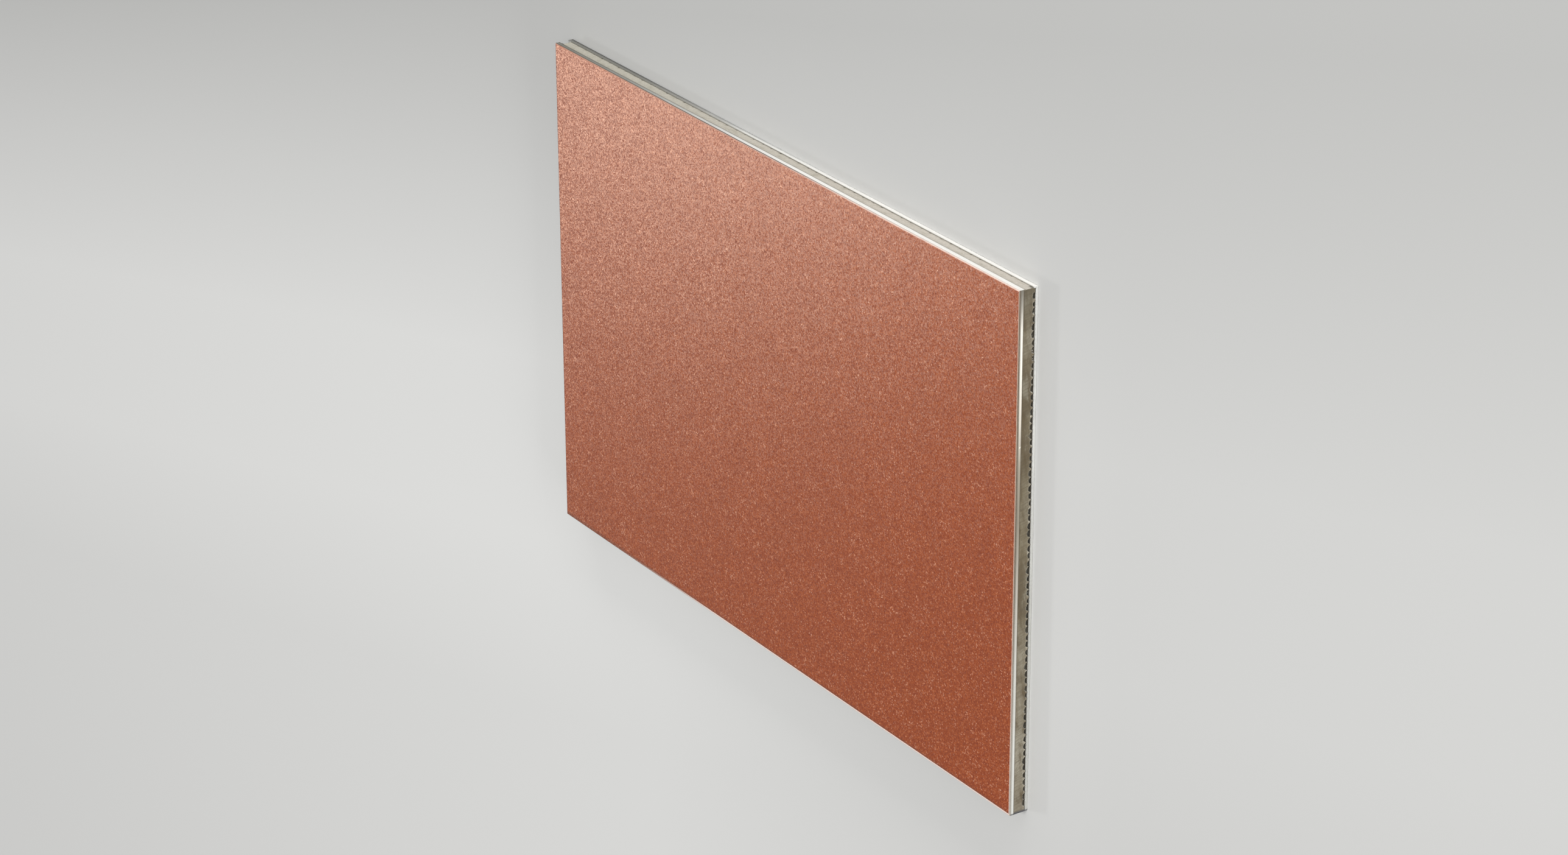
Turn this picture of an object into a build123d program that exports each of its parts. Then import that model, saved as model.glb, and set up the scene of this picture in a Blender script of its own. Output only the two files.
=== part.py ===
from build123d import *
from math import cos, sin
import os

# A cut piece of aluminium composite panel, lying on its rear skin with the
# coated face up. Two aluminium skins are bonded by thin films to a mineral
# core, and the front skin carries a coloured coating that rolls over its arris.
# All sizes are in millimetres. X is the panel's width, Y its height and Z its
# thickness. The origin is at the middle of the rear face.

# Overall sizes
panel_width = 150.0
panel_height = 100.0
panel_thickness = 4.0

# Layers, in the order in which they lie under the face
coating_thickness = 0.05
front_skin_thickness = 0.95
bond_film_thickness = 0.06
rear_skin_thickness = 0.55

# Rounding that the cut gave to the front skin, under the coating, and the
# straight strip of coated metal below it
arris_radius = 0.20
arris_land = 0.07

# Broken edge of the rear skin
rear_arris_chamfer = 0.08

# Top edge, where the cut dragged both skins over the core. The front skin's
# smear grows from nothing at the left end to its full height.
smear_depth = 0.10
front_smear_height = 0.28
front_smear_run = 85.0
rear_smear_height = 0.45

# Left end of the core, which is worn back further under the front skin
core_setback_front = 1.3
core_setback_rear = 0.8

# How far the bond films stop short of the core's edges
film_setback = 0.15

# Row of chips that the saw tore out of the core along the rear bond line,
# on the right edge
chip_pitch = 1.42
chip_height = 0.60
chip_depth = 0.45
chip_end_margin = 0.9

# Smaller nicks on the top edge, just above the rear skin's smear
nick_pitch = 2.9
nick_height = 0.24
nick_depth = 0.14
nick_end_margin = 2.0

# Share by which the chips and nicks differ in size and in place, the size of a
# chip's floor against its mouth, and the broken facets round it
unevenness = 0.22
chip_floor_share = 0.5
chip_sides = 12

# Heights of the layers' faces above the rear face
rear_skin_top = rear_skin_thickness
core_bottom = rear_skin_top + bond_film_thickness
front_skin_top = panel_thickness - coating_thickness
front_skin_bottom = front_skin_top - front_skin_thickness
core_top = front_skin_bottom - bond_film_thickness
arris_foot = front_skin_top - arris_radius - arris_land

# Half sizes, and the plane of the core's top edge behind the smears
half_width = panel_width / 2
half_height = panel_height / 2
core_top_edge = half_height - smear_depth


def block(left, right, near, far, bottom, top):
    """A box from its six faces."""
    size = Box(right - left, far - near, top - bottom)
    return Pos((left + right) / 2, (near + far) / 2, (bottom + top) / 2) * size


def sheet(bottom, top, inset=0.0):
    """A layer with the panel's outline, or the same outline drawn in."""
    return block(
        -half_width + inset,
        half_width - inset,
        -half_height + inset,
        half_height - inset,
        bottom,
        top,
    )


def smear(outline_points):
    """Skin metal dragged over the core's top edge, from its outline in X and Z."""
    outline = Plane.XZ * Polygon(*outline_points, align=None)
    return Pos(0, half_height, 0) * extrude(outline, smear_depth)


def rounded_head(bottom, top, radius, inset=0.0):
    """A layer whose upper arris is rounded all round."""
    layer = sheet(bottom, top, inset)
    return fillet(layer.edges().group_by(Axis.Z)[-1], radius)


def skin_head():
    """The part of the front skin that the coating covers, arris included."""
    return rounded_head(arris_foot, front_skin_top, arris_radius, coating_thickness)


def face_coating():
    """Coating of even thickness over the face and down the rounded arris."""
    outer_radius = arris_radius + coating_thickness
    return rounded_head(arris_foot, panel_thickness, outer_radius) - skin_head()


def front_skin():
    """Front skin, with its smear over the right part of the core's top edge."""
    full_x = -half_width + front_smear_run
    smear_bottom = front_skin_bottom - front_smear_height
    dragged = smear(
        [
            (-half_width, front_skin_bottom),
            (full_x, smear_bottom),
            (half_width, smear_bottom),
            (half_width, front_skin_bottom),
        ]
    )
    return sheet(front_skin_bottom, arris_foot) + skin_head() + dragged


def rear_skin():
    """Rear skin, with a broken rear arris and a smear along its top edge."""
    layer = sheet(0, rear_skin_top)
    layer = chamfer(layer.edges().group_by(Axis.Z)[0], rear_arris_chamfer)
    smear_top = rear_skin_top + rear_smear_height
    dragged = smear(
        [
            (-half_width, rear_skin_top),
            (half_width, rear_skin_top),
            (half_width, smear_top),
            (-half_width, smear_top),
        ]
    )
    return layer + dragged


def bond_film(bottom, core_setback):
    """A bond film, which stops a little short of the core on every side."""
    return block(
        -half_width + core_setback + film_setback,
        half_width - film_setback,
        -half_height + film_setback,
        core_top_edge - film_setback,
        bottom,
        bottom + bond_film_thickness,
    )


def uneven(size, step):
    """The size of one chip in a row: it swings about the size that is named."""
    swing = 0.5 * sin(2.4 * step) + 0.5 * sin(5.3 * step + 1.0)
    return size * (1 + unevenness * swing)


def row_places(length, pitch, end_margin):
    """Uneven places along an edge, about the edge's middle, with their steps."""
    run = length - 2 * end_margin
    count = max(1, int(run / pitch))
    slack = 0.25 * unevenness * pitch
    for step in range(count):
        even_place = (step + 0.5) * run / count - run / 2
        yield step, even_place + slack * cos(3.7 * step)


def scoop(height, depth):
    """A tapered cutter for a chip of this height and depth, sunk along its own axis."""
    mouth = RegularPolygon(height, chip_sides)
    floor = Pos(0, 0, depth) * RegularPolygon(height * chip_floor_share, chip_sides)
    return loft([mouth, floor], ruled=True)


def edge_chips():
    """Cutters for the chips along the right edge's rear bond line."""
    for step, y in row_places(panel_height, chip_pitch, chip_end_margin):
        cutter = scoop(uneven(chip_height, step), uneven(chip_depth, step + 7))
        yield Pos(half_width, y, core_bottom) * Rot(0, -90, 0) * cutter


def edge_nicks():
    """Cutters for the nicks along the top edge, above the rear skin's smear."""
    smear_top = rear_skin_top + rear_smear_height
    for step, x in row_places(panel_width, nick_pitch, nick_end_margin):
        cutter = scoop(uneven(nick_height, step), uneven(nick_depth, step + 3))
        yield Pos(x, core_top_edge, smear_top) * Rot(90, 0, 0) * cutter


def core():
    """Sawn core: left end worn back, chips on the right edge, nicks on the top."""
    outline = Plane.XZ * Polygon(
        (-half_width + core_setback_rear, core_bottom),
        (half_width, core_bottom),
        (half_width, core_top),
        (-half_width + core_setback_front, core_top),
        align=None,
    )
    body = Pos(0, core_top_edge, 0) * extrude(outline, core_top_edge + half_height)
    return body - [*edge_chips(), *edge_nicks()]


pieces = {
    "face_coating": face_coating(),
    "front_skin": front_skin(),
    "front_bond_film": bond_film(core_top, core_setback_front),
    "core": core(),
    "rear_bond_film": bond_film(rear_skin_top, core_setback_rear),
    "rear_skin": rear_skin(),
}

os.makedirs("parts", exist_ok=True)
for name, piece in pieces.items():
    export_step(piece, f"parts/{name}.step")
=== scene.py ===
import math
import bpy
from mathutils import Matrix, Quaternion, Vector, noise


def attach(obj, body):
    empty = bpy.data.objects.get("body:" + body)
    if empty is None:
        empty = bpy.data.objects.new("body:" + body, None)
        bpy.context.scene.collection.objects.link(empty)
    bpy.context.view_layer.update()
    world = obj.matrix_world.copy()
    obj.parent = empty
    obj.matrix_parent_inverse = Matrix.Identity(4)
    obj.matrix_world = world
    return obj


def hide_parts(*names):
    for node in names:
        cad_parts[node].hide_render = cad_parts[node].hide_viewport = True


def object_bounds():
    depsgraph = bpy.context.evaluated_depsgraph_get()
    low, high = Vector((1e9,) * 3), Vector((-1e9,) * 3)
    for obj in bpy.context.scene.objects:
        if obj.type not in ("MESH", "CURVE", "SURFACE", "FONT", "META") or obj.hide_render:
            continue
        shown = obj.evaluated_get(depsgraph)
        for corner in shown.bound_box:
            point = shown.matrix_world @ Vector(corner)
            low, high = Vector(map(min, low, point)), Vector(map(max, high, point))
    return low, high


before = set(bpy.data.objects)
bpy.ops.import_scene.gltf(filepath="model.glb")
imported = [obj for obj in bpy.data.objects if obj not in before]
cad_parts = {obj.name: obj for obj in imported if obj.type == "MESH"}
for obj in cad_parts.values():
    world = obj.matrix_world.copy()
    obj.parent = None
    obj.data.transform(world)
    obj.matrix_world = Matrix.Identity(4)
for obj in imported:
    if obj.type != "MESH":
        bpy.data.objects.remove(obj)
cad_low, cad_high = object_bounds()

MM = 0.001

# Camera: the photograph's pose against the panel, which here lies on its rear face
camera_azimuth = math.radians(118.43)
camera_elevation = math.radians(30.33)
camera_roll = math.radians(-105.49)
camera_distance = 831.1 * MM
camera_aim = Vector((3.94, -1.49, 4.0)) * MM
camera_lens = 104.0

# Sizes repeated from the part's source, in millimetres
panel_width = 150.0
panel_height = 100.0
panel_thickness = 4.0
coating_thickness = 0.05
arris_radius = 0.20
rear_arris_chamfer = 0.08
smear_depth = 0.10
front_smear_height = 0.28
front_smear_run = 85.0
rear_smear_height = 0.45
core_setback_front = 1.3
core_setback_rear = 0.8
film_setback = 0.15
chip_pitch = 1.42
chip_height = 0.60
chip_depth = 0.45
chip_end_margin = 0.9
nick_pitch = 2.9
nick_height = 0.24
nick_depth = 0.14
nick_end_margin = 2.0
unevenness = 0.22

# Heights of the layers' faces above the rear face, also from the source
rear_skin_top = 0.55
core_bottom = 0.61
core_top = 2.94
front_skin_bottom = 3.00
arris_foot = 3.68
front_skin_top = 3.95
half_width = panel_width / 2
half_height = panel_height / 2
core_top_edge = half_height - smear_depth

# The panel's sides in the order in which a layer's outline runs round them:
# outward direction, direction of travel and length
SIDES = {
    "right": (Vector((1, 0)), Vector((0, 1)), panel_height),
    "far": (Vector((0, 1)), Vector((-1, 0)), panel_width),
    "left": (Vector((-1, 0)), Vector((0, -1)), panel_height),
    "near": (Vector((0, -1)), Vector((1, 0)), panel_width),
}
SIDE_ORDER = list(SIDES)

# Places near a corner that every outline has, so that smears end in a clean step,
# and the reach over which a corner's own setback fades along a side
CORNER_STEPS = (0.04, 0.095, 0.105, 0.2, 0.4, 0.8)
CORNER_REACH = 4.0

# Saw marks in the core: lean against the panel's thickness, the slope and pitch of the
# modelled grooves, and the depths of the grooves and of the grain over them
saw_lean = math.radians(38.7)
saw_slope = 0.8
saw_pitch = 0.46
saw_groove_depth = 0.009
saw_grain_depth = 0.020

# Share of a chip's radius over which its side slopes down
chip_slope_share = 0.14
nick_slope_share = 0.5

# Small burr at the left end of the front skin's smear
burr_place = -73.8
burr_half_length = 0.55
burr_height = 0.20

# Groove in the core beside each smear: distance from the smear, then depth and half width
groove_offset = 0.03
rear_groove = (0.07, 0.11)
front_groove = (0.06, 0.10)

# Rounding of a smear's free edge, and the height of the shoulder between that edge and the wall
smear_rounding = 0.004
smear_shoulder = 0.03

# A fleck on the right edge's bright band: its place along the slanting line y + z / 2
fleck_place = 22.7

# The stretch of the right edge where the chips look worn flat and their painted shade is weaker: its
# middle, and the distances from there over which their dark painted shade comes back
worn_flat_place = 35.5
worn_flat_reach = (3.5, 5.5)

# Pairs of heights above the rear face over which the look of an edge changes
ARRIS_SHEEN_HEIGHTS = (3.998, 3.98)
COATING_END = (3.90, 3.85)
SHADED_CUT = (3.58, 3.42)
FLECK_TOP = (3.45, 3.35)
DUSTY_CUT = (3.16, 3.08)
FRONT_SKIN_CUT = (1.2, 1.8)
LOW_CORE = (1.5, 1.2)
BESIDE_CHIPS = (1.30, 1.15)
CHIP_FLOOR_SHADE = (1.1, 0.65)
REAR_SMEAR_EDGE = (0.80, 0.92)
BOND_SHADE = (0.74, 0.66)
REAR_INNER_CUT = (0.22, 0.55)
SMUDGED_CUT = (0.36, 0.50)

# Pairs of distances in from a side over which the look changes
NEAR_SHADE = (0.95, 0.55)
NEAR_CORE_END = (0.60, 0.20)
NEAR_BRIGHT_LINE = (0.48, 0.40)
NEAR_SKIN_END = (0.34, 0.20)
NEAR_OUTERMOST = (0.18, 0.12)
LEFT_SHADE = (0.60, 0.25)
CHIP_DEPTH_SHOWN = (0.04, 0.10)
NICK_DEPTH_SHOWN = (smear_depth + 0.06, smear_depth + 0.10)

# The coating's flakes: how many lie along a metre, and the most that one tilts
flakes_per_metre = 4700.0
flake_tilt = 0.10

# The floor, and the plain light from all round
floor_reach = 4.0
floor_drop = 0.01 * MM
world_strength = 0.33


def linear(red, green, blue):
    """A colour written as 0 to 255 display values, as the linear values that nodes take."""
    return tuple(
        (value / 255 / 12.92) if value <= 10 else ((value / 255 + 0.055) / 1.055) ** 2.4
        for value in (red, green, blue)
    ) + (1.0,)


def clamp(value):
    """Holds a value between 0 and 1."""
    return max(0.0, min(1.0, value))


def ease(value):
    """0 to 1 with a soft start and end."""
    value = clamp(value)
    return value * value * (3 - 2 * value)


def wander(along, scale, seed, across=0.0):
    """Smooth noise from about -1 to 1, by a place in millimetres. Each seed gives its own."""
    return noise.noise(Vector((along / scale, across / scale, seed)))


def uneven(size, step):
    """The source's own formula for the size of one chip in a row."""
    swing = 0.5 * math.sin(2.4 * step) + 0.5 * math.sin(5.3 * step + 1.0)
    return size * (1 + unevenness * swing)


def row_places(length, pitch, end_margin):
    """The source's own formula for the places of the chips in a row."""
    run = length - 2 * end_margin
    count = max(1, int(run / pitch))
    slack = 0.25 * unevenness * pitch
    for step in range(count):
        even_place = (step + 0.5) * run / count - run / 2
        yield step, even_place + slack * math.cos(3.7 * step)


def place_along(side, x, y):
    """The place along a side: y on the right and left, x on the far and near sides."""
    return y if side in ("right", "left") else x


CHIP_SEED = 33
NICK_SEED = 43
CHIPS = [
    (place, uneven(chip_height, step), uneven(chip_depth, step + 7))
    for step, place in row_places(panel_height, chip_pitch, chip_end_margin)
]
NICKS = [
    (place, uneven(nick_height, step), uneven(nick_depth, step + 3))
    for step, place in row_places(panel_width, nick_pitch, nick_end_margin)
]

# Heights of the core's rows, close together beside the chips and under the front smear
CORE_LEVELS = [
    *(core_bottom + 0.055 * step for step in range(14)),
    *(1.5, 1.7, 1.9, 2.1),
    *(core_top - 0.083 * step for step in reversed(range(10))),
]


def chips_near(along, rise, row, seed):
    """The chips about a place along the edge: how far inside each it is, and their depths."""
    for place, height, depth in row:
        offset = along - place
        if abs(offset) < 1.4 * height and abs(rise) < 1.4 * height:
            angle = math.atan2(rise, offset)
            ragged = 1 + 0.16 * wander(place + 2.2 * angle, 0.8, seed)
            yield 1 - math.hypot(offset, rise) / (height * ragged), depth


def scooped(along, rise, row, seed, slope_share):
    """How deep the chips in a row cut at a place along the edge and a rise above the bond line."""
    deepest = 0.0
    for inside, depth in chips_near(along, rise, row, seed):
        slope = clamp(inside / slope_share)
        deepest = max(deepest, depth * slope * (2 - slope))
    return deepest


def chip_rim(along, rise):
    """1 on the broken rim round a chip of the right edge, 0 away from it and inside any chip."""
    inside = [here for here, _ in chips_near(along, rise, CHIPS, CHIP_SEED)]
    return ease(1 - abs(max(inside) + 0.07) / 0.13) if inside else 0.0


def saw_marks(along, height, seed):
    """Shallow slanting grooves that a saw leaves in the core, with a rough grain."""
    patch = 0.35 + 0.65 * ease(0.5 + 1.1 * wander(along, 6.0, seed, height))
    turns = math.tau * (along + saw_slope * height) / saw_pitch
    wave = 0.5 + 0.5 * math.sin(turns + 2.5 * wander(along, 2.2, seed + 3))
    grain = 0.5 + 0.5 * wander(along, 0.22, seed + 5, height)
    return saw_groove_depth * patch * wave + saw_grain_depth * grain


def groove(offset, depth, reach):
    """A groove with straight sides, by the distance from its middle."""
    return depth * clamp(1 - abs(offset) / reach)


def front_smear(x, y):
    """How far the front skin hangs over the core at the top edge, burr included."""
    if y < core_top_edge:
        return 0.0
    grown = front_smear_height * clamp((x + half_width) / front_smear_run)
    ragged = 1 + 0.07 * wander(x, 2.6, 11) + 0.03 * wander(x, 0.5, 12)
    burr = burr_height * ease(1 - abs(x - burr_place) / burr_half_length)
    return max(0.004, grown * ragged + burr)


def rear_smear(x, y):
    """How far the rear skin stands up over the core at the top edge."""
    if y < core_top_edge:
        return 0.0
    return rear_smear_height * (0.95 + 0.09 * wander(x, 3.1, 21) + 0.05 * wander(x, 0.6, 22))


def core_rows(side, x, y):
    """The core's edge from the rear face up: inset and height of each row."""
    along = place_along(side, x, y)
    rows = []
    for z in CORE_LEVELS:
        if side == "right":
            chipped = scooped(along, z - core_bottom, CHIPS, CHIP_SEED, chip_slope_share)
            inset = saw_marks(along, z, 31) + chipped
        elif side == "far":
            rear_gap = z - rear_skin_top - rear_smear(x, half_height) - groove_offset
            front_gap = z - front_skin_bottom + front_smear(x, half_height) + groove_offset
            gap = max(groove(rear_gap, *rear_groove), groove(front_gap, *front_groove))
            above_smear = z - rear_skin_top - rear_smear_height
            nicked = scooped(along, above_smear, NICKS, NICK_SEED, nick_slope_share)
            inset = smear_depth + 0.7 * saw_marks(along, z, 41)
            inset += max(gap, nicked)
        elif side == "left":
            share = (z - core_bottom) / (core_top - core_bottom)
            inset = core_setback_rear + (core_setback_front - core_setback_rear) * share
            inset += 0.16 * wander(along, 1.3, 51, z) + 0.08 * wander(along, 0.35, 52, z)
        else:
            inset = saw_marks(along, z, 61)
        rows.append((max(0.0, inset), z))
    return rows


def film_rows(bottom, top, edge_insets):
    """A bond film's edge, a little ragged."""
    def rows(side, x, y):
        along = place_along(side, x, y)
        ragged = edge_insets[side] + 0.03 * wander(along, 0.7, 71) + 0.02 * wander(along, 0.2, 72)
        middle = (bottom + top) / 2
        return [
            (ragged + 0.012, bottom),
            (ragged, bottom + 0.01),
            (ragged - 0.008, middle),
            (ragged, top - 0.01),
            (ragged + 0.012, top),
        ]
    return rows


def smear_edge(depth, root, edge, rounding):
    """Rows round a smear's free edge and in to the layer's flat, its root. Hanging down, it has a
    negative rounding."""
    return [
        (0.010 + 0.25 * depth, edge - rounding),
        (max(depth - 0.025, 0.003), edge),
        (depth + 0.006, edge - rounding),
        (depth + 0.02, root),
        (depth + 0.06, root),
    ]


def front_skin_rows(side, x, y):
    """The front skin's edge: smear, sawn wall, and the rounded arris under the coating."""
    along = place_along(side, x, y)
    hang = front_smear(x, y)
    depth = smear_depth if side == "far" else 0.0
    foot = front_skin_bottom - hang
    rows = smear_edge(depth, front_skin_bottom, foot, -smear_rounding)[::-1]
    rows.append((0.0, foot + smear_shoulder))
    wall_steps = 5
    for step in range(1, wall_steps + 1):
        z = foot + smear_shoulder + (arris_foot - 0.02 - foot - smear_shoulder) * step / wall_steps
        rough = 0.010 * (1 + wander(along, 0.9, 81, 12 * z)) * (step < wall_steps)
        rows.append((rough, z))
    rows += [(0.012, arris_foot), (coating_thickness, arris_foot + 0.004)]
    rows += arc_rows(coating_thickness, front_skin_top - arris_radius, arris_radius, 6)
    return rows


def rear_skin_rows(side, x, y):
    """The rear skin's edge: broken rear arris, sawn wall and the smear over the core."""
    along = place_along(side, x, y)
    rise = rear_smear(x, y)
    depth = smear_depth if side == "far" else 0.0
    head = rear_skin_top + rise
    broken = rear_arris_chamfer * (1 + 0.25 * wander(along, 1.4, 91))
    rows = [(broken + 0.05, 0.0), (broken, 0.0), (0.35 * broken, 0.30 * broken), (0.0, broken)]
    wall_steps = 4
    for step in range(1, wall_steps + 1):
        z = broken + (head - smear_shoulder - broken) * step / wall_steps
        rough = 0.008 * (1 + wander(along, 0.8, 92, 10 * z)) * (step < wall_steps)
        rows.append((rough, z))
    return rows + smear_edge(depth, rear_skin_top, head, smear_rounding)


def arc_rows(inset, foot, radius, steps):
    """Rows up a quarter round, from a wall to the face."""
    return [
        (inset + radius * (1 - math.cos(angle)), foot + radius * math.sin(angle))
        for angle in (math.pi / 2 * step / steps for step in range(steps + 1))
    ]


def coating_rows(side, x, y):
    """The coating: inner surface down the arris, its cut lower edge, and the outer surface up."""
    along = place_along(side, x, y)
    ripple = 0.012 * (1 + wander(along, 0.9, 101))
    flaked = 0.025 * ease(3.2 * wander(along, 2.3, 102) - 1.2)
    lip = arris_foot + ripple + flaked
    wear_and_sheen = 0.012 * (1 + wander(along, 1.7, 103))
    radius = arris_radius + coating_thickness
    inner = arc_rows(coating_thickness, front_skin_top - arris_radius, arris_radius, 6)
    rows = [(inset + 0.002, z - 0.002) for inset, z in reversed(inner)]
    rows += [
        (coating_thickness, lip + 0.004),
        (0.6 * coating_thickness, lip),
        (0.010, lip + 0.004),
        (0.0, lip + 0.014),
    ]
    for inset, z in arc_rows(0.0, panel_thickness - radius, radius, 9):
        share = math.sin(math.pi * clamp((z - panel_thickness + radius) / radius))
        rows.append((inset + 0.6 * wear_and_sheen * share, z - 0.4 * wear_and_sheen * share))
    rows += [(radius + 0.08, panel_thickness), (radius + 2.0, panel_thickness)]
    return rows


def side_places(length, spacing):
    """Distances along a side, from its first corner to just before its last."""
    count = round((length - 2 * CORNER_STEPS[-1]) / spacing)
    middle = [
        CORNER_STEPS[-1] + (length - 2 * CORNER_STEPS[-1]) * step / count for step in range(1, count)
    ]
    return [0.0, *CORNER_STEPS, *middle, *(length - step for step in reversed(CORNER_STEPS))]


def layer_mesh(name, rows_at, spacings):
    """A closed layer: rows of points swept round the panel's four sides, capped by two flats."""
    corners = {}
    place = Vector((half_width, -half_height))
    for side in SIDE_ORDER:
        corners[side] = place.copy()
        place += SIDES[side][1] * SIDES[side][2]

    points = []
    row_count = 0
    for index, side in enumerate(SIDE_ORDER):
        outward, travel, length = SIDES[side]
        before = SIDE_ORDER[index - 1]
        after = SIDE_ORDER[(index + 1) % len(SIDE_ORDER)]
        start, end = corners[side], corners[after]
        insets_before = [inset for inset, _ in rows_at(before, *start)]
        insets_after = [inset for inset, _ in rows_at(after, *end)]
        for distance in side_places(length, spacings[side]):
            spot = start + travel * distance
            rows = rows_at(side, *spot)
            row_count = len(rows)
            near_start = clamp(1 - distance / CORNER_REACH)
            near_end = clamp(1 - (length - distance) / CORNER_REACH)
            for (inset, z), first, last in zip(rows, insets_before, insets_after):
                flat = spot + travel * (first * near_start - last * near_end) - outward * inset
                points.append(Vector((flat.x, flat.y, z)) * MM)

    columns = len(points) // row_count
    faces = [tuple(column * row_count for column in reversed(range(columns)))]
    faces.append(tuple(column * row_count + row_count - 1 for column in range(columns)))
    for column in range(columns):
        here, there = column * row_count, (column + 1) % columns * row_count
        for row in range(row_count - 1):
            faces.append((here + row, there + row, there + row + 1, here + row + 1))

    mesh = bpy.data.meshes.new(name)
    mesh.from_pydata(points, [], faces)
    mesh.validate()
    mesh.polygons.foreach_set("use_smooth", [True] * len(mesh.polygons))
    mesh.set_sharp_from_angle(angle=math.radians(38))
    return mesh


def mark_rims(mesh):
    """Writes on each point of the core how much it lies on a chip's rim, for its material."""
    rims = []
    for vertex in mesh.vertices:
        x, y, z = vertex.co / MM
        rims.append(chip_rim(y, z - core_bottom) if x > half_width - 0.5 else 0.0)
    mesh.attributes.new("rim", "FLOAT", "POINT").data.foreach_set("value", rims)


def add_layer(node, material, rows_at, spacings):
    """Puts a detailed layer in the place of its CAD node."""
    piece = bpy.data.objects.new(node + "_detailed", layer_mesh(node + "_detailed", rows_at, spacings))
    piece.data.materials.append(material)
    bpy.context.scene.collection.objects.link(piece)
    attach(piece, "root")
    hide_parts(node)
    return piece.data


class Nodes:
    """A material's node tree with short ways to add and join nodes."""

    def __init__(self, name):
        self.material = bpy.data.materials.new(name)
        self.material.use_nodes = True
        self.tree = self.material.node_tree
        self.shader = self.tree.nodes["Principled BSDF"]
        self.coords = self.tree.nodes.new("ShaderNodeTexCoord").outputs["Object"]
        split = self.add("SeparateXYZ", i0=self.coords)
        self.x, self.y, self.z = (split.outputs[axis] for axis in "XYZ")
        self.normal = self.tree.nodes.new("ShaderNodeNewGeometry").outputs["Normal"]
        split = self.add("SeparateXYZ", i0=self.normal)
        self.normal_x, self.normal_y, self.normal_z = (split.outputs[axis] for axis in "XYZ")

    def put(self, node, socket, value):
        """Links an output, or writes a plain value, to a node's input."""
        numbered = socket[0] == "i" and socket[1:].isdigit()
        target = node.inputs[int(socket[1:]) if numbered else socket]
        if isinstance(value, bpy.types.NodeSocket):
            self.tree.links.new(value, target)
        else:
            target.default_value = value

    def add(self, kind, settings=None, **inputs):
        """Adds a node. An input is given by its name, or by its number as i0, i1 and so on."""
        node = self.tree.nodes.new("ShaderNode" + kind)
        for key, value in (settings or {}).items():
            setattr(node, key, value)
        for key, value in inputs.items():
            self.put(node, key.replace("_", " "), value)
        return node

    def set(self, **inputs):
        """Sets the shader's sockets."""
        for key, value in inputs.items():
            self.put(self.shader, key.replace("_", " "), value)

    def maths(self, operation, a, b=0.0):
        """Joins two numbers."""
        return self.add("Math", {"operation": operation}, i0=a, i1=b).outputs[0]

    def vector_maths(self, operation, a, b=(0.0, 0.0, 0.0)):
        """Joins two vectors."""
        return self.add("VectorMath", {"operation": operation}, i0=a, i1=b).outputs[0]

    def ramp(self, factor, *stops):
        """Colours between stops, each a place from 0 to 1 and a colour."""
        node = self.add("ValToRGB", i0=factor)
        elements = node.color_ramp.elements
        while len(elements) < len(stops):
            elements.new(0.5)
        for element, (place, colour) in zip(elements, stops):
            element.position = place
            element.color = colour
        return node.outputs[0]

    def span(self, value, low, high, out_low=0.0, out_high=1.0):
        """Maps a value's range to another, held at the ends."""
        node = self.add("MapRange", {"clamp": True}, i0=value, i1=low, i2=high, i3=out_low, i4=out_high)
        return node.outputs[0]

    def rise(self, heights, out_low=0.0, out_high=1.0):
        """Maps a pair of heights above the rear face, in millimetres, as span does."""
        return self.span(self.z, heights[0] * MM, heights[1] * MM, out_low, out_high)

    def inside(self, side, distances, out_low=0.0, out_high=1.0):
        """Maps a pair of distances in from a side of the panel, in millimetres, as span does."""
        value, edge, inwards = {
            "right": (self.x, half_width, -1),
            "far": (self.y, half_height, -1),
            "left": (self.x, -half_width, 1),
            "near": (self.y, -half_height, 1),
        }[side]
        start, end = (edge + inwards * distance for distance in distances)
        return self.span(value, start * MM, end * MM, out_low, out_high)

    def mix(self, factor, a, b):
        """Mixes two colours."""
        node = self.add("Mix", {"data_type": "RGBA"})
        for socket, value in (("i0", factor), ("i6", a), ("i7", b)):
            self.put(node, socket, value)
        return node.outputs[2]

    def sized(self, x, y, z, turn=(0, 0, 0)):
        """Coordinates in which a texture's features have these sizes in mm, turned as given."""
        turned = {"vector_type": "TEXTURE"}
        return self.add("Mapping", turned, i0=self.coords, i2=turn, i3=(x * MM, y * MM, z * MM)).outputs[0]

    def noise(self, where, scale, detail, roughness):
        """Cloudy values from 0 to 1."""
        node = self.add("TexNoise", Vector=where, Scale=scale, Detail=detail, Roughness=roughness)
        return node.outputs["Fac"]

    def bump(self, height, strength, distance, base=None):
        """A normal that a height bends, from the surface's own or from a base."""
        node = self.add("Bump", Height=height, Strength=strength, Distance=distance)
        if base is not None:
            self.put(node, "Normal", base)
        return node.outputs[0]


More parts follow.
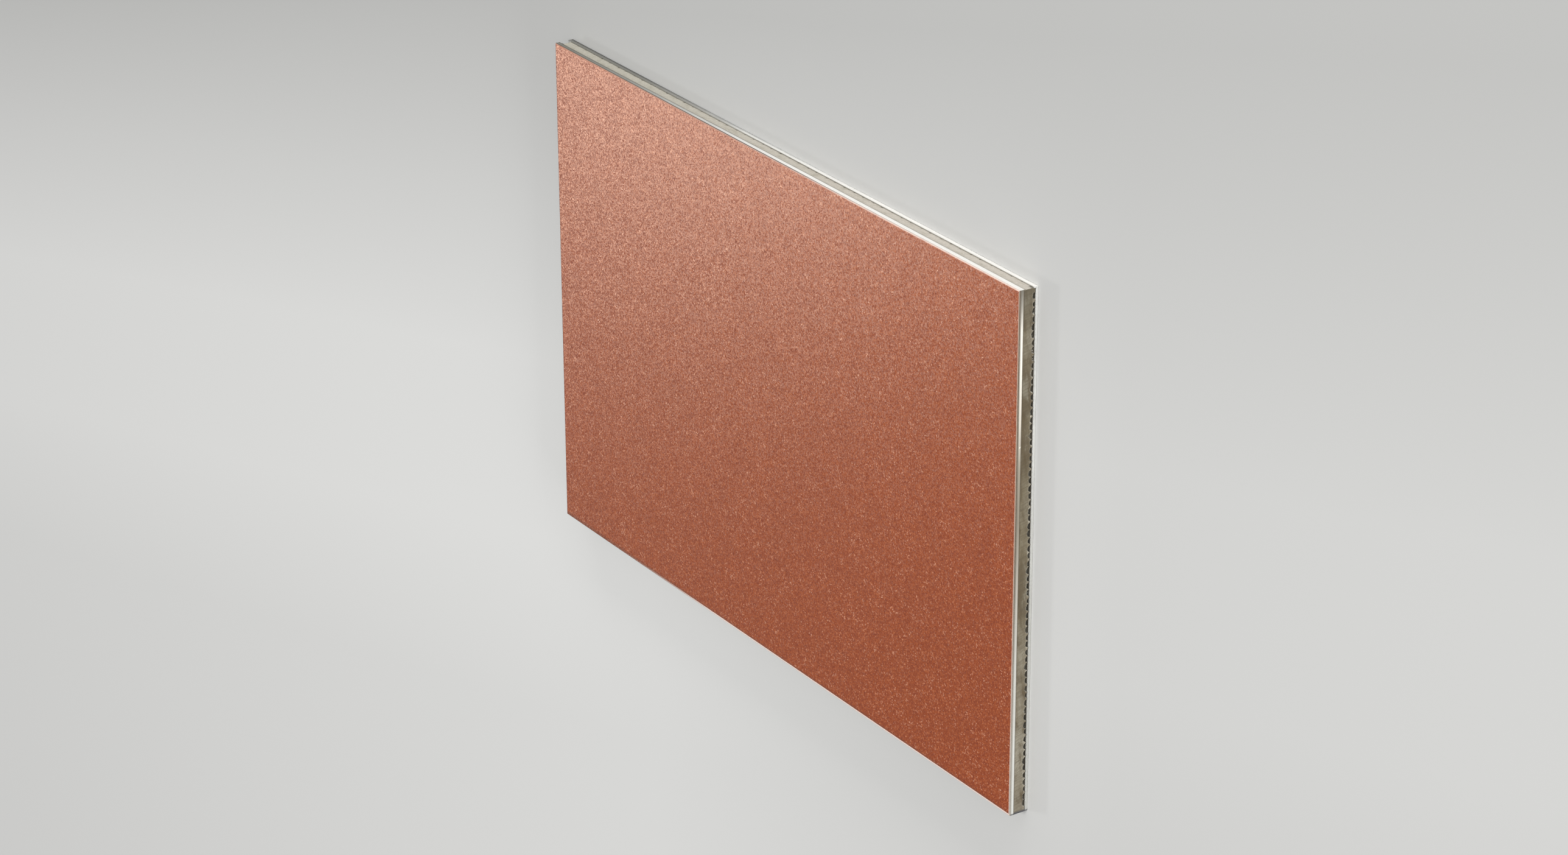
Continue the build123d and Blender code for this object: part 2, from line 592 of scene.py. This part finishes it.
def coating_material():
    """Copper metallic paint: fine flakes at small random tilts under a satin coat."""
    n = Nodes("copper_coating")
    flakes = n.add("TexVoronoi", Vector=n.coords, Scale=flakes_per_metre).outputs["Color"]
    pick = n.add("SeparateColor", i0=flakes).outputs
    clumps = n.noise(n.coords, 2200.0, 3.0, 0.7)
    cloud = n.noise(n.coords, 130.0, 2.0, 0.5)
    shade = n.maths("ADD", n.maths("MULTIPLY", pick[0], 0.55), n.maths("MULTIPLY", clumps, 0.50))
    body = n.ramp(
        shade,
        (0.24, linear(132, 52, 24)),
        (0.52, linear(147, 64, 28)),
        (0.72, linear(160, 78, 40)),
        (0.88, linear(186, 112, 76)),
    )
    # Scattered pale flakes: painted glints, which show under any light
    cluster = n.noise(n.coords, 620.0, 2.0, 0.6)
    glint_flake_mask = n.maths("SUBTRACT", pick[2], n.span(cluster, 0.35, 0.68, 0.96, 0.84))
    body = n.mix(n.span(glint_flake_mask, 0.0, 0.14, 0.0, 0.65), body, linear(232, 172, 142))
    body = n.mix(n.span(cloud, 0.3, 0.7, 0.0, 0.10), body, linear(116, 52, 32))

    # The rounded arris is painted pale as a painted highlight, broken up by wear, with a darker line where
    # the coating ends below it whose tone along the edges is painted reflection
    wear = n.noise(n.sized(1.6, 1.6, 0.2), 1.0, 3.0, 0.6)
    on_right = n.span(n.normal_x, 0.2, 0.5)
    along_top = n.span(n.x, -half_width * MM, half_width * MM)
    along_right = n.span(n.y, -half_height * MM, half_height * MM)
    arris_sheen_top = n.ramp(
        along_top,
        (0.05, linear(186, 144, 126)),
        (0.35, linear(190, 152, 136)),
        (0.52, linear(196, 166, 154)),
        (0.72, linear(226, 198, 186)),
    )
    arris_sheen_right = n.mix(n.span(along_right, 0.1, 0.6), linear(178, 165, 156), linear(166, 145, 131))
    arris_sheen_left = linear(150, 106, 88)
    arris_sheen_near = n.mix(n.span(along_top, 0.1, 0.35), arris_sheen_left, linear(236, 216, 207))
    wear_and_sheen = n.mix(on_right, arris_sheen_top, arris_sheen_right)
    wear_and_sheen = n.mix(n.span(n.normal_x, -0.1, -0.3), wear_and_sheen, arris_sheen_left)
    wear_and_sheen = n.mix(n.span(n.normal_y, -0.1, -0.3), wear_and_sheen, arris_sheen_near)
    end_top = n.ramp(
        along_top,
        (0.00, linear(92, 84, 78)),
        (0.42, linear(74, 66, 64)),
        (0.54, linear(98, 90, 88)),
        (0.68, linear(180, 170, 163)),
        (1.00, linear(214, 203, 195)),
    )
    end_right = n.mix(n.span(along_right, 0.1, 0.5), linear(138, 132, 124), linear(88, 78, 68))
    coating_end = n.mix(on_right, end_top, end_right)
    beside_near = n.inside("near", NEAR_SHADE, 0.0, 0.6)
    beside_left = n.inside("left", LEFT_SHADE, 0.0, 0.35)
    body = n.mix(n.maths("MAXIMUM", beside_near, beside_left), body, linear(104, 58, 44))
    # A painted highlight along the near arris, paler towards the right
    near_line = n.maths("MULTIPLY", n.inside("near", NEAR_BRIGHT_LINE), n.span(along_top, 0.1, 0.35))
    body = n.mix(near_line, body, arris_sheen_near)
    # The pale band on the arris is a painted highlight, broken up by wear
    on_arris = n.maths("MULTIPLY", n.rise(ARRIS_SHEEN_HEIGHTS), n.span(wear, 0.25, 0.5, 0.6, 1.0))
    body = n.mix(on_arris, body, wear_and_sheen)
    # A grey line on the near side's outermost edge: painted contact shadow
    body = n.mix(n.inside("near", NEAR_OUTERMOST, 0.0, 0.8), body, linear(138, 132, 126))
    lowered = n.maths("SUBTRACT", n.z, n.maths("MULTIPLY", on_right, 0.02 * MM))
    body = n.mix(n.span(lowered, COATING_END[0] * MM, COATING_END[1] * MM), body, coating_end)

    # Each flake tilts the surface a little its own way
    tilt = n.vector_maths("SUBTRACT", flakes, (0.5, 0.5, 0.5))
    tilt = n.vector_maths("MULTIPLY", tilt, (flake_tilt, flake_tilt, 0.0))
    tilted = n.vector_maths("NORMALIZE", n.vector_maths("ADD", n.normal, tilt))
    n.set(
        Base_Color=body,
        Metallic=0.06,
        Roughness=n.span(pick[1], 0.0, 1.0, 0.23, 0.30),
        Specular_IOR_Level=0.35,
        Specular_Tint=linear(255, 233, 184),
        Normal=n.bump(clumps, 0.12, 0.01 * MM, tilted),
        Coat_Weight=0.06,
        Coat_Roughness=0.28,
    )
    return n.material


def skin_material():
    """Cut aluminium: painted reflection makes it dull in some stretches and bright elsewhere, with lines
    along the cut.
    """
    n = Nodes("skin_aluminium")
    along_cut = n.noise(n.sized(4.0, 4.0, 0.09), 1.0, 3.0, 0.6)
    rolling = n.noise(n.sized(25.0, 0.19, 0.19), 1.0, 4.0, 0.6)
    on_face = n.span(n.maths("ABSOLUTE", n.normal_z), 0.6, 0.8)
    lines = n.add("Mix", i0=on_face, i2=along_cut, i3=rolling).outputs[0]
    patches = n.noise(n.coords, 210.0, 3.0, 0.6)

    # Tone of the metal along the top edge, painted as reflection, dark at the left and bright to the
    # right: the front skin, then the rear skin's outer and inner parts
    wavy_x = n.maths("ADD", n.x, n.maths("MULTIPLY", n.maths("SUBTRACT", patches, 0.5), 14 * MM))
    along_top = n.span(wavy_x, -half_width * MM, half_width * MM)
    front_metal = n.ramp(
        along_top,
        (0.04, linear(124, 124, 115)),
        (0.17, linear(146, 146, 140)),
        (0.29, linear(190, 190, 185)),
        (0.42, linear(230, 229, 225)),
        (0.56, linear(247, 245, 240)),
    )
    outer_metal = n.ramp(
        along_top,
        (0.17, linear(80, 80, 76)),
        (0.28, linear(122, 122, 118)),
        (0.41, linear(186, 186, 183)),
        (0.55, linear(228, 227, 223)),
        (0.68, linear(247, 245, 240)),
    )
    inner_metal = n.ramp(
        along_top,
        (0.16, linear(128, 127, 120)),
        (0.28, linear(156, 154, 148)),
        (0.36, linear(190, 189, 184)),
        (0.42, linear(232, 231, 226)),
        (0.55, linear(247, 245, 240)),
    )
    rear_metal = n.mix(n.rise(REAR_INNER_CUT), outer_metal, inner_metal)

    # A darker line along each smear's free edge: painted shade of the groove beside it
    groove_shade = n.mix(along_top, linear(84, 80, 70), linear(150, 145, 134))
    full_x = -half_width + front_smear_run
    full_foot = front_skin_bottom - front_smear_height
    smear_foot = n.span(n.x, -half_width * MM, full_x * MM, front_skin_bottom * MM, full_foot * MM)
    front_line = n.span(n.maths("SUBTRACT", n.z, smear_foot), 0.26 * MM, 0.14 * MM)
    rear_line = n.rise(REAR_SMEAR_EDGE)
    rear_line = n.maths("MULTIPLY", rear_line, n.span(wavy_x, -50 * MM, 0.0, 0.2, 1.0))
    is_front = n.maths("GREATER_THAN", n.z, 1.5 * MM)
    top_metal = n.mix(is_front, rear_metal, front_metal)
    lines_of_both = n.add("Mix", i0=is_front, i2=rear_line, i3=front_line).outputs[0]
    top_metal = n.mix(n.maths("MULTIPLY", lines_of_both, 0.85), top_metal, groove_shade)
    at_top = n.maths("GREATER_THAN", n.y, (half_height - 0.12) * MM)
    on_top = n.maths("MAXIMUM", n.span(n.normal_y, 0.5, 0.7), at_top)

    # Tone along the right edge, painted as reflection in bright and dark stretches, with a fleck of bare
    # metal and a painted shade at the near end
    along_right = n.span(n.y, -half_height * MM, half_height * MM)
    right_cut_reflection = n.ramp(
        along_right,
        (0.00, linear(216, 217, 212)),
        (0.28, linear(206, 205, 198)),
        (0.45, linear(184, 177, 166)),
        (0.57, linear(148, 139, 124)),
        (0.67, linear(166, 157, 141)),
        (0.76, linear(228, 220, 206)),
        (0.86, linear(253, 247, 234)),
        (0.925, linear(251, 246, 235)),
        (0.965, linear(176, 171, 161)),
        (1.00, linear(118, 114, 104)),
    )
    shaded = n.mix(n.span(along_right, 0.2, 0.5), linear(150, 145, 136), linear(104, 96, 84))
    right_cut_reflection = n.mix(n.rise(SHADED_CUT, 0.75, 0.0), right_cut_reflection, shaded)
    slant = n.maths("ADD", n.y, n.maths("MULTIPLY", n.z, 0.5))
    off_fleck = n.maths("ABSOLUTE", n.maths("SUBTRACT", slant, fleck_place * MM))
    fleck = n.maths("MULTIPLY", n.span(off_fleck, 0.16 * MM, 0.06 * MM), n.rise(FLECK_TOP))
    right_cut_reflection = n.mix(n.maths("MULTIPLY", fleck, 0.8), right_cut_reflection, linear(255, 250, 236))
    plain = n.mix(n.span(patches, 0.3, 0.7), linear(196, 196, 193), linear(216, 216, 212))
    rear_right = n.mix(n.span(n.y, 30 * MM, -12 * MM, 0.0, 0.8), plain, linear(178, 178, 172))
    smudge = n.noise(n.sized(0.5, 0.5, 0.25), 1.0, 2.0, 0.6)
    smudge = n.maths("MULTIPLY", n.span(smudge, 0.48, 0.62, 0.0, 0.6), n.rise(SMUDGED_CUT))
    rear_right = n.mix(smudge, rear_right, linear(128, 126, 116))
    # Core dust covers the foot of the front skin's cut
    right_cut_reflection = n.mix(n.rise(DUSTY_CUT, 0.0, 0.75), right_cut_reflection, linear(120, 110, 93))
    right_metal = n.mix(n.rise(FRONT_SKIN_CUT), rear_right, right_cut_reflection)
    # Painted shade at the near end of the right edge's cut
    right_metal = n.mix(n.inside("near", NEAR_SKIN_END, 0.0, 0.85), right_metal, linear(72, 74, 78))
    metal = n.mix(on_top, plain, top_metal)
    metal = n.mix(n.span(n.normal_x, 0.5, 0.7), metal, right_metal)
    metal = n.mix(n.span(lines, 0.30, 0.60, 0.14, 0.0), metal, linear(96, 94, 88))
    n.set(
        Base_Color=metal,
        Metallic=0.25,
        Roughness=n.span(lines, 0.3, 0.7, 0.48, 0.36),
        Normal=n.bump(lines, 0.35, 0.012 * MM),
    )
    return n.material


def core_material():
    """Mineral core: grey-brown and sawn, with slanting streaks and brown patches, painted shade on the
    sawn right side and dark painted shade in the chips.
    """
    n = Nodes("mineral_core")
    grain = n.noise(n.coords, 4200.0, 4.0, 0.65)
    streaks_right = n.noise(n.sized(1.0, 0.22, 1.3, (saw_lean, 0, 0)), 1.0, 3.0, 0.6)
    streaks_top = n.noise(n.sized(0.22, 1.0, 1.3, (0, -saw_lean, 0)), 1.0, 3.0, 0.6)
    stains = n.noise(n.sized(5.0, 5.0, 1.4, (math.radians(8), 0, 0)), 1.0, 4.0, 0.6)
    tone = n.noise(n.sized(15.0, 15.0, 9.0), 1.0, 1.0, 0.5)
    sawn_shaded = n.ramp(
        tone,
        (0.38, linear(94, 82, 62)),
        (0.47, linear(115, 105, 84)),
        (0.54, linear(122, 113, 94)),
        (0.63, linear(142, 135, 118)),
    )
    sawn_shaded = n.mix(n.span(n.y, -12 * MM, -38 * MM, 0.0, 0.34), sawn_shaded, linear(158, 152, 137))
    sawn_shaded = n.mix(n.span(stains, 0.50, 0.64, 0.0, 0.85), sawn_shaded, linear(84, 70, 46))
    sawn_shaded = n.mix(n.span(stains, 0.46, 0.34, 0.0, 0.4), sawn_shaded, linear(160, 155, 138))
    hatched = n.span(tone, 0.45, 0.60, 0.16, 0.38)
    streak = n.span(streaks_right, 0.36, 0.60, 1.0, 0.0)
    sawn_shaded = n.mix(n.maths("MULTIPLY", streak, hatched), sawn_shaded, linear(78, 70, 54))
    upright = n.noise(n.sized(1.0, 0.30, 5.0, (math.radians(12), 0, 0)), 1.0, 2.0, 0.6)
    sawn_shaded = n.mix(n.span(upright, 0.36, 0.60, 0.36, 0.0), sawn_shaded, linear(72, 62, 46))
    sawn_shaded = n.mix(n.span(n.y, 40 * MM, 48 * MM, 0.0, 0.45), sawn_shaded, linear(84, 78, 66))
    along_top = n.span(n.x, -60 * MM, 30 * MM)
    top_core_lit = n.mix(along_top, linear(184, 180, 167), linear(200, 193, 182))
    top_core_lit = n.mix(n.span(streaks_top, 0.36, 0.64, 0.16, 0.0), top_core_lit, linear(128, 120, 104))
    mottle = n.noise(n.sized(2.6, 2.6, 1.1), 1.0, 4.0, 0.65)
    top_core_lit = n.mix(n.span(mottle, 0.50, 0.66, 0.0, 0.35), top_core_lit, linear(142, 136, 116))
    # Painted shade: the sawn right side is written far darker than the top edge's core, which is written
    # as lit
    body = n.mix(n.span(n.normal_y, 0.5, 0.8), sawn_shaded, top_core_lit)
    body = n.mix(n.span(grain, 0.35, 0.65, 0.18, 0.0), body, linear(84, 78, 62))

    # Torn surfaces deeper than the sawn edge are painted dark as shade in the chips' hollows, darkest at
    # their floor, and the cusps between chips are pale
    low = n.rise(LOW_CORE)
    right_end = n.maths("GREATER_THAN", n.x, (half_width - 1) * MM)
    top_end = n.maths("GREATER_THAN", n.y, (half_height - 1) * MM)
    in_chip = n.inside("right", CHIP_DEPTH_SHOWN)
    in_nick = n.inside("far", NICK_DEPTH_SHOWN)
    beside_chips = n.maths("MULTIPLY", n.rise(BESIDE_CHIPS), right_end)
    unstained = n.maths("MULTIPLY", beside_chips, n.span(stains, 0.6, 0.4, 0.0, 0.4))
    body = n.mix(unstained, body, linear(146, 138, 121))
    rim = n.add("Attribute", {"attribute_name": "rim"}).outputs["Fac"]
    pale_rim = n.maths("MULTIPLY", rim, n.span(stains, 0.6, 0.4, 0.2, 0.7))
    body = n.mix(pale_rim, body, linear(172, 166, 152))
    torn_in_shade = n.mix(n.span(grain, 0.3, 0.7), linear(50, 47, 39), linear(88, 84, 71))
    torn_in_shade = n.mix(n.rise(CHIP_FLOOR_SHADE, 0.0, 0.6), torn_in_shade, linear(42, 40, 36))
    # Painted shade along the bond line, over the dark rear film
    bond_line_shade = n.maths("MULTIPLY", n.rise(BOND_SHADE, 0.0, 0.8), right_end)
    body = n.mix(bond_line_shade, body, linear(60, 56, 47))
    shallow = n.noise(n.sized(9.0, 9.0, 9.0), 1.0, 1.0, 0.5)
    chips = n.maths("MULTIPLY", n.maths("MULTIPLY", in_chip, right_end), low)
    chips = n.maths("MULTIPLY", chips, n.span(shallow, 0.40, 0.52, 0.6, 1.0))
    off_flat = n.maths("ABSOLUTE", n.maths("SUBTRACT", n.y, worn_flat_place * MM))
    worn_flat = n.span(off_flat, worn_flat_reach[0] * MM, worn_flat_reach[1] * MM, 0.45, 1.0)
    chips = n.maths("MULTIPLY", chips, worn_flat)
    # The nicks on the far side are painted darker: painted shade in their hollows
    nicks = n.maths("MULTIPLY", n.maths("MULTIPLY", in_nick, top_end), low)
    nicks = n.maths("MULTIPLY", nicks, n.span(mottle, 0.46, 0.60, 0.0, 0.6))
    body = n.mix(chips, body, torn_in_shade)
    body = n.mix(nicks, body, linear(104, 100, 84))
    crumbs = n.span(n.noise(n.coords, 1300.0, 2.0, 0.6), 0.60, 0.66)
    strewn = n.maths("MULTIPLY", beside_chips, n.span(n.y, 10 * MM, 40 * MM, 0.25, 0.9))
    crumbs = n.maths("MULTIPLY", crumbs, strewn)
    body = n.mix(crumbs, body, linear(206, 202, 190))
    # Painted shade at the near end of the right edge's core
    near_end = n.maths("MULTIPLY", n.inside("near", NEAR_CORE_END), right_end)
    body = n.mix(near_end, body, linear(68, 69, 72))
    n.set(
        Base_Color=body,
        Roughness=n.span(grain, 0.3, 0.7, 0.92, 0.72),
        Normal=n.bump(grain, 0.5, 0.03 * MM),
    )
    return n.material


def film_material():
    """Dark, dull bond film."""
    n = Nodes("bond_film")
    grain = n.noise(n.coords, 5000.0, 3.0, 0.6)
    n.set(
        Base_Color=n.mix(n.span(grain, 0.3, 0.7), linear(70, 64, 54), linear(112, 106, 92)),
        Roughness=n.span(grain, 0.3, 0.7, 0.75, 0.6),
        Normal=n.bump(grain, 0.3, 0.01 * MM),
    )
    return n.material


def area_light(name, place, size, power, width=None, aim=(0.0, 0.0, 0.0), turn=0.0):
    """A soft light in metres and watts: square, or long with a width and a turn."""
    data = bpy.data.lights.new(name, "AREA")
    data.shape = "RECTANGLE"
    data.size = size
    data.size_y = width or size
    data.energy = power
    light = bpy.data.objects.new(name, data)
    light.location = place
    light.rotation_mode = "QUATERNION"
    towards = (Vector(aim) - Vector(place)).to_track_quat("-Z", "Y")
    light.rotation_quaternion = towards @ Quaternion((0, 0, 1), turn)
    bpy.context.scene.collection.objects.link(light)


def make_floor():
    """A pale floor under the rear face, with painted shade: darker towards the top of the picture and
    towards the right.
    """
    # It lies a hair below the rear face, so that the two flat faces don't share one plane
    level = cad_low.z - floor_drop
    quarters = ((-1, -1), (1, -1), (1, 1), (-1, 1))
    corners = [(floor_reach * x, floor_reach * y, level) for x, y in quarters]
    mesh = bpy.data.meshes.new("floor")
    mesh.from_pydata(corners, [], [(0, 1, 2, 3)])
    floor = bpy.data.objects.new("floor", mesh)
    bpy.context.scene.collection.objects.link(floor)
    n = Nodes("pale_floor")
    up_picture = n.maths("SUBTRACT", n.y, n.maths("MULTIPLY", n.x, 0.25))
    tone = n.ramp(
        n.span(up_picture, -80 * MM, 80 * MM),
        (0.00, linear(214, 214, 212)),
        (0.25, linear(220, 220, 218)),
        (0.50, linear(218, 218, 216)),
        (0.72, linear(204, 204, 202)),
        (0.97, linear(183, 183, 181)),
    )
    n.set(
        Base_Color=n.mix(n.span(n.x, -50 * MM, 100 * MM, 0.0, 0.50), tone, linear(184, 184, 182)),
        Roughness=0.9,
    )
    mesh.materials.append(n.material)


def make_world(strength):
    """Plain white light from all round."""
    world = bpy.data.worlds.new("studio")
    bpy.context.scene.world = world
    world.use_nodes = True
    background = world.node_tree.nodes["Background"]
    background.inputs["Color"].default_value = (1.0, 1.0, 1.0, 1.0)
    background.inputs["Strength"].default_value = strength


def make_camera():
    """The photograph's camera: it looks down on the lying panel, rolled to match."""
    back = Vector((
        math.sin(camera_azimuth) * math.cos(camera_elevation),
        -math.cos(camera_azimuth) * math.cos(camera_elevation),
        math.sin(camera_elevation),
    ))
    data = bpy.data.cameras.new("camera")
    data.lens = camera_lens
    data.sensor_width = 36.0
    data.clip_start = 0.01
    data.clip_end = 20.0
    camera = bpy.data.objects.new("camera", data)
    camera.location = camera_aim + back * camera_distance
    camera.rotation_mode = "QUATERNION"
    level = (-back).to_track_quat("-Z", "Y")
    camera.rotation_quaternion = Quaternion(-back, -camera_roll) @ level
    bpy.context.scene.collection.objects.link(camera)
    bpy.context.scene.camera = camera


skin = skin_material()
film = film_material()

# Spacing of the points along each side, in millimetres
core_spacing = {"right": 0.12, "far": 0.20, "left": 0.5, "near": 0.5}
layer_spacing = {"right": 0.25, "far": 0.30, "left": 1.0, "near": 1.0}

# How far in from each side the films end
film_insets = dict.fromkeys(SIDE_ORDER, film_setback)
film_insets["far"] += smear_depth
front_film_insets = {**film_insets, "left": core_setback_front + film_setback}
rear_film_insets = {**film_insets, "left": core_setback_rear + film_setback}
front_film_rows = film_rows(core_top, front_skin_bottom, front_film_insets)
rear_film_rows = film_rows(rear_skin_top, core_bottom, rear_film_insets)

add_layer("face_coating", coating_material(), coating_rows, layer_spacing)
add_layer("front_skin", skin, front_skin_rows, layer_spacing)
add_layer("front_bond_film", film, front_film_rows, layer_spacing)
mark_rims(add_layer("core", core_material(), core_rows, core_spacing))
add_layer("rear_bond_film", film, rear_film_rows, layer_spacing)
add_layer("rear_skin", skin, rear_skin_rows, layer_spacing)

make_floor()
make_world(world_strength)

# A small lamp across from the camera gives the soft highlight that fades down from the face's
# top edge. Two low, wide lamps light the cut edges on the far and right sides, and one lights
# from above.
area_light(
    "highlight",
    place=(-1.72, -0.60, 1.205),
    size=0.32,
    power=5.1,
    width=0.10,
    aim=(-0.04, 0.06, 0.0),
    turn=math.radians(21),
)
area_light("key", place=(0.2, 2.0, 0.32), size=3.0, power=28.5, width=0.5)
area_light("top", place=(0.5, 0.35, 1.6), size=0.5, power=15.8)
area_light("side", place=(1.7, 0.1, 0.25), size=2.4, power=22.8, width=0.4)
make_camera()

bpy.context.scene.view_settings.view_transform = "Standard"
